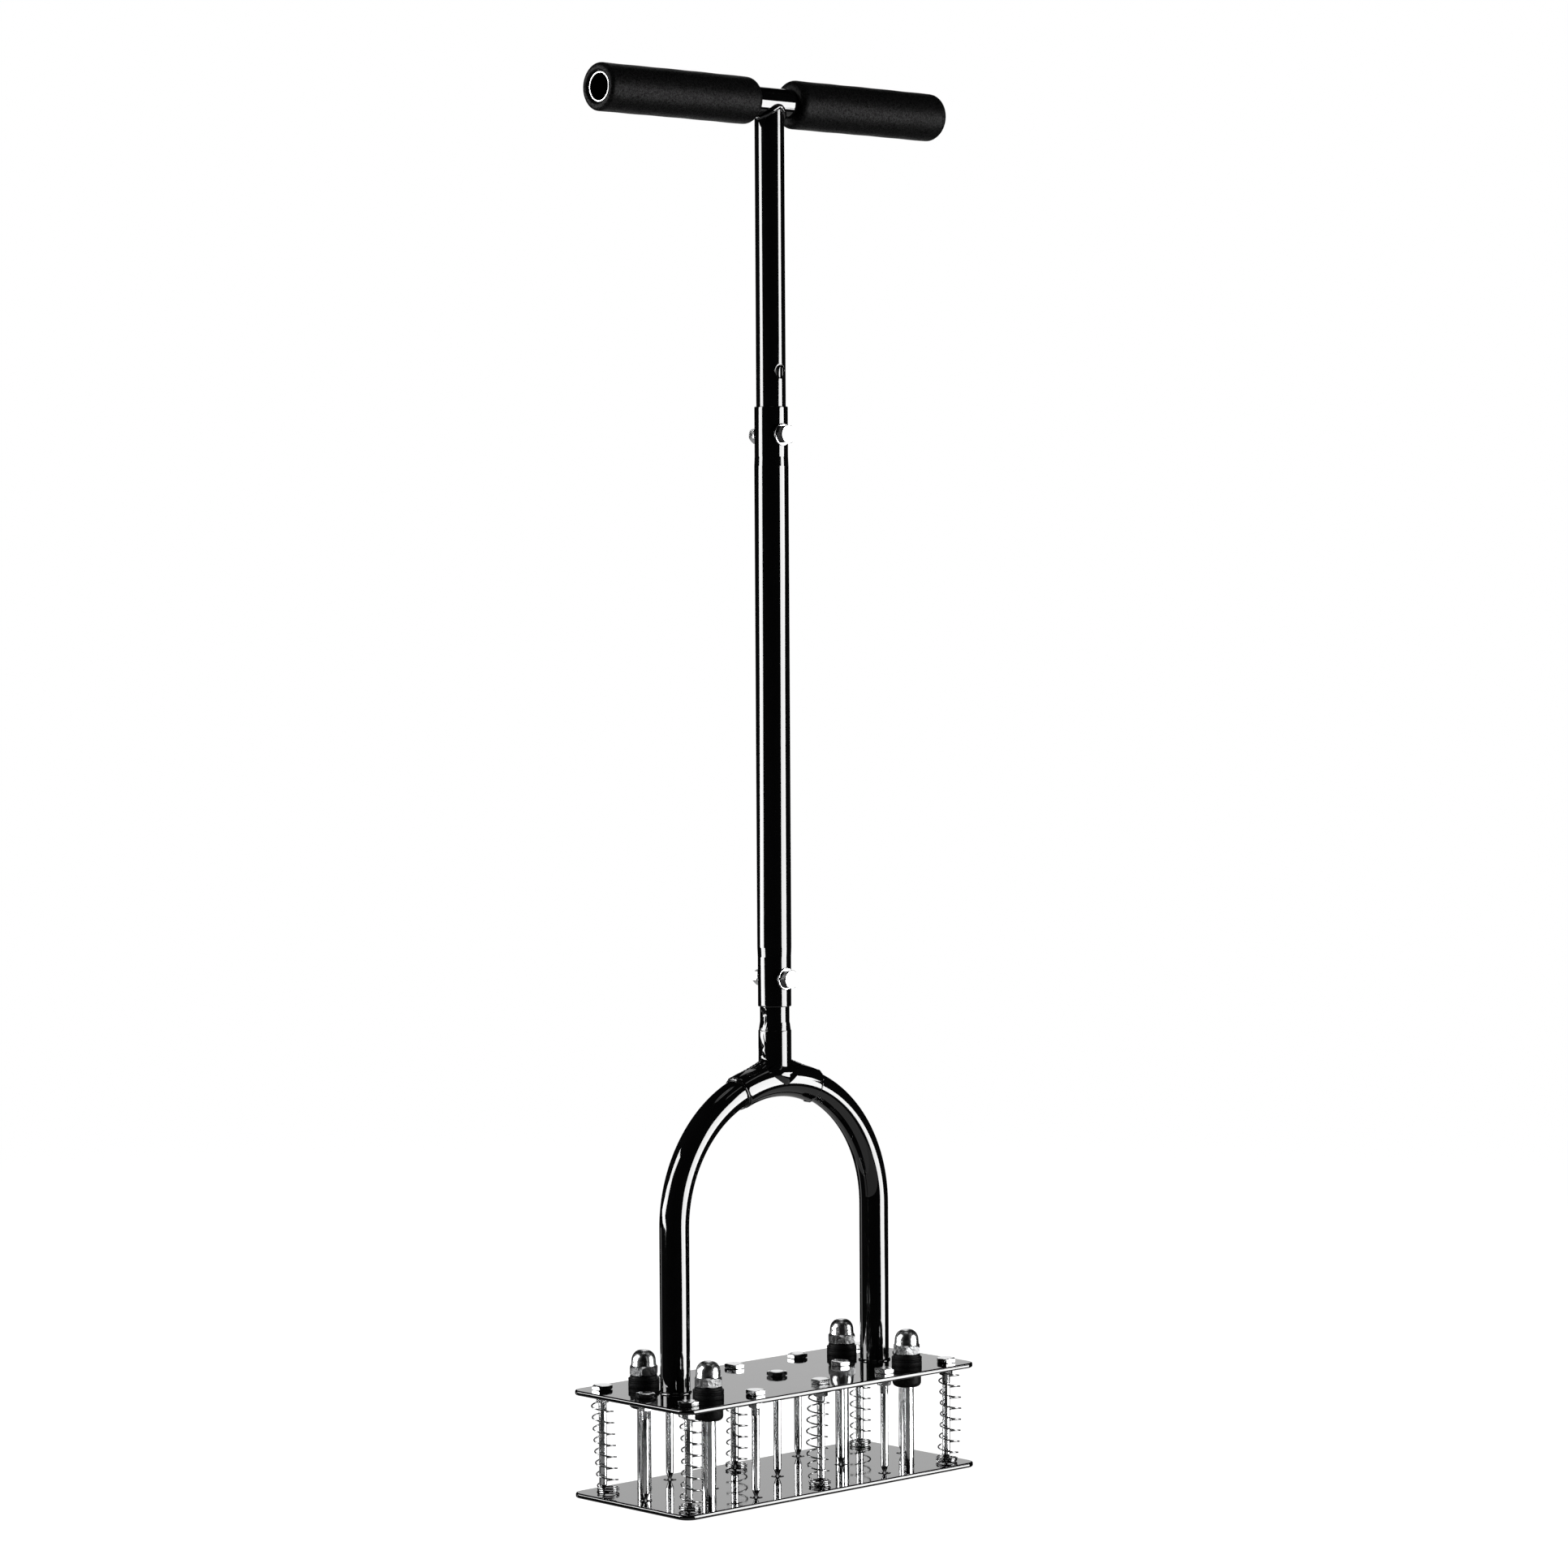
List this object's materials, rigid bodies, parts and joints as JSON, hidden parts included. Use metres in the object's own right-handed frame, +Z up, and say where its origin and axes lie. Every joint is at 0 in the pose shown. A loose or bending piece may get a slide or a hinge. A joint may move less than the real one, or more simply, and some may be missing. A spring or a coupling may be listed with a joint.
{
  "type": "manual lawn aerator",
  "caption": "Tall T-handled manual lawn aerator: a tube pole on an arched fork presses a plate of pointed spikes down through holes in a sprung stripper plate on guide posts.",
  "frame": {"origin": "centre of the stripper plate's underside, the face that the tool stands on", "axes": "+X along the plates' long side and the handle, +Y across them, +Z up the pole"},
  "size_m": [0.294, 0.111, 0.9005],
  "materials": {
    "black_gloss_enamel": "glossy black stoving enamel on steel",
    "bright_plated_steel": "bright zinc plating, slightly brushed",
    "black_rubber": "satin moulded rubber",
    "black_foam": "matt closed-cell foam"
  },
  "bodies": {
    "frame": {"bushing_back_left": "black_rubber", "bushing_back_right": "black_rubber", "bushing_front_left": "black_rubber", "bushing_front_right": "black_rubber", "fork_crown": "black_gloss_enamel", "fork_tube": "black_gloss_enamel", "grip_left": "black_foam", "grip_right": "black_foam", "handle_crossbar": "black_gloss_enamel", "joint_bolt_lower": "bright_plated_steel", "joint_bolt_upper": "bright_plated_steel", "joint_nut_lower": "bright_plated_steel", "joint_nut_upper": "bright_plated_steel", "middle_tube": "black_gloss_enamel", "neck_stem": "black_gloss_enamel", "spike_back_1": "bright_plated_steel", "spike_back_2": "bright_plated_steel", "spike_back_3": "bright_plated_steel", "spike_back_4": "bright_plated_steel", "spike_back_5": "bright_plated_steel", "spike_front_1": "bright_plated_steel", "spike_front_2": "bright_plated_steel", "spike_front_3": "bright_plated_steel", "spike_front_4": "bright_plated_steel", "spike_front_5": "bright_plated_steel", "spike_middle_1": "bright_plated_steel", "spike_middle_2": "bright_plated_steel", "spike_middle_3": "bright_plated_steel", "spike_middle_4": "bright_plated_steel", "spike_middle_5": "bright_plated_steel", "spike_plate": "black_gloss_enamel", "spring_back_1": "bright_plated_steel", "spring_back_3": "bright_plated_steel", "spring_back_5": "bright_plated_steel", "spring_front_1": "bright_plated_steel", "spring_front_3": "bright_plated_steel", "spring_front_5": "bright_plated_steel", "upper_tube": "black_gloss_enamel"},
    "stripper": {"cap_nut_back_left": "bright_plated_steel", "cap_nut_back_right": "bright_plated_steel", "cap_nut_front_left": "bright_plated_steel", "cap_nut_front_right": "bright_plated_steel", "guide_post_back_left": "bright_plated_steel", "guide_post_back_right": "bright_plated_steel", "guide_post_front_left": "bright_plated_steel", "guide_post_front_right": "bright_plated_steel", "stripper_plate": "black_gloss_enamel"}
  },
  "joints": [
    {"name": "stripper_slide", "type": "slide", "parent": "frame", "child": "stripper", "axis": [0, 0, 1], "range_m": [0, 0.05], "stiffness_N_per_m": 3200, "springref_m": -0.013, "deforming": ["spring_back_1", "spring_back_3", "spring_back_5", "spring_front_1", "spring_front_3", "spring_front_5"]}
  ]
}
